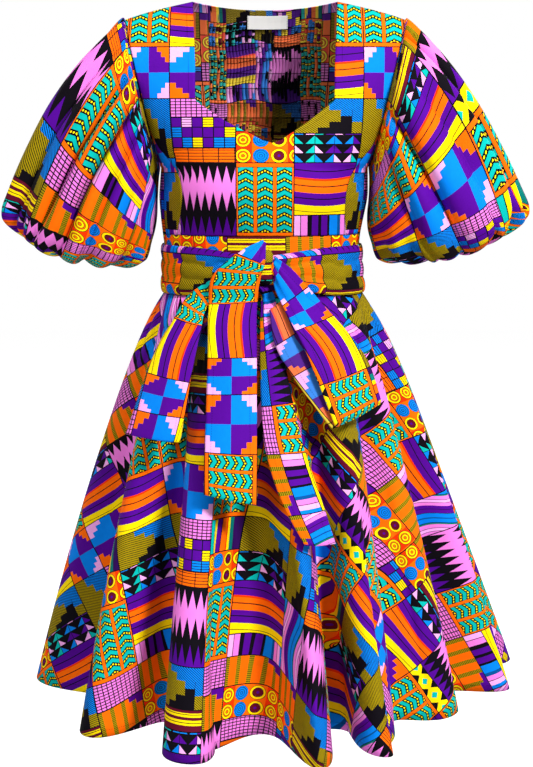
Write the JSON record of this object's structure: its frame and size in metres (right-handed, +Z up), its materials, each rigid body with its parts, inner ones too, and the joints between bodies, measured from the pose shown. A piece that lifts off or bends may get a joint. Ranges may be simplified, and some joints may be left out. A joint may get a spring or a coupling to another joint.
{
  "type": "wrap print dress",
  "caption": "Knee-length flared dress in bold wax-print cotton, with puff sleeves, a V neck, a smocked back and a sash tied in a bow, open at neck, armholes, cuffs and hem.",
  "frame": {"origin": "midway between the shoulders, at the height of the neck sides, where the wearer's shoulders hold the dress", "axes": "+Z up, the front faces -Y, the wearer's left is +X"},
  "size_m": [0.7622, 0.7407, 0.9874],
  "materials": {
    "bodice": "printed cotton, plain weave",
    "back": "printed cotton, smocked",
    "band": "printed cotton, plain weave",
    "skirt": "printed cotton, plain weave",
    "sleeve": "printed cotton, plain weave",
    "sash": "printed cotton, plain weave",
    "label": "woven satin tape"
  },
  "bodies": {
    "root": {"bodice_back_smocked": "back", "bodice_front": "bodice", "bodice_side_back_left": "bodice", "bodice_side_back_right": "bodice", "bodice_side_front_left": "bodice", "bodice_side_front_right": "bodice", "bow_knot": "sash", "bow_loop_left": "sash", "bow_loop_right": "sash", "bow_tail_centre": "sash", "bow_tail_right": "sash", "neck_label": "label", "sash_belt": "sash", "skirt_back": "skirt", "skirt_front": "skirt", "sleeve_left": "sleeve", "sleeve_right": "sleeve", "waistband_back": "band", "waistband_front": "band"}
  },
  "joints": []
}
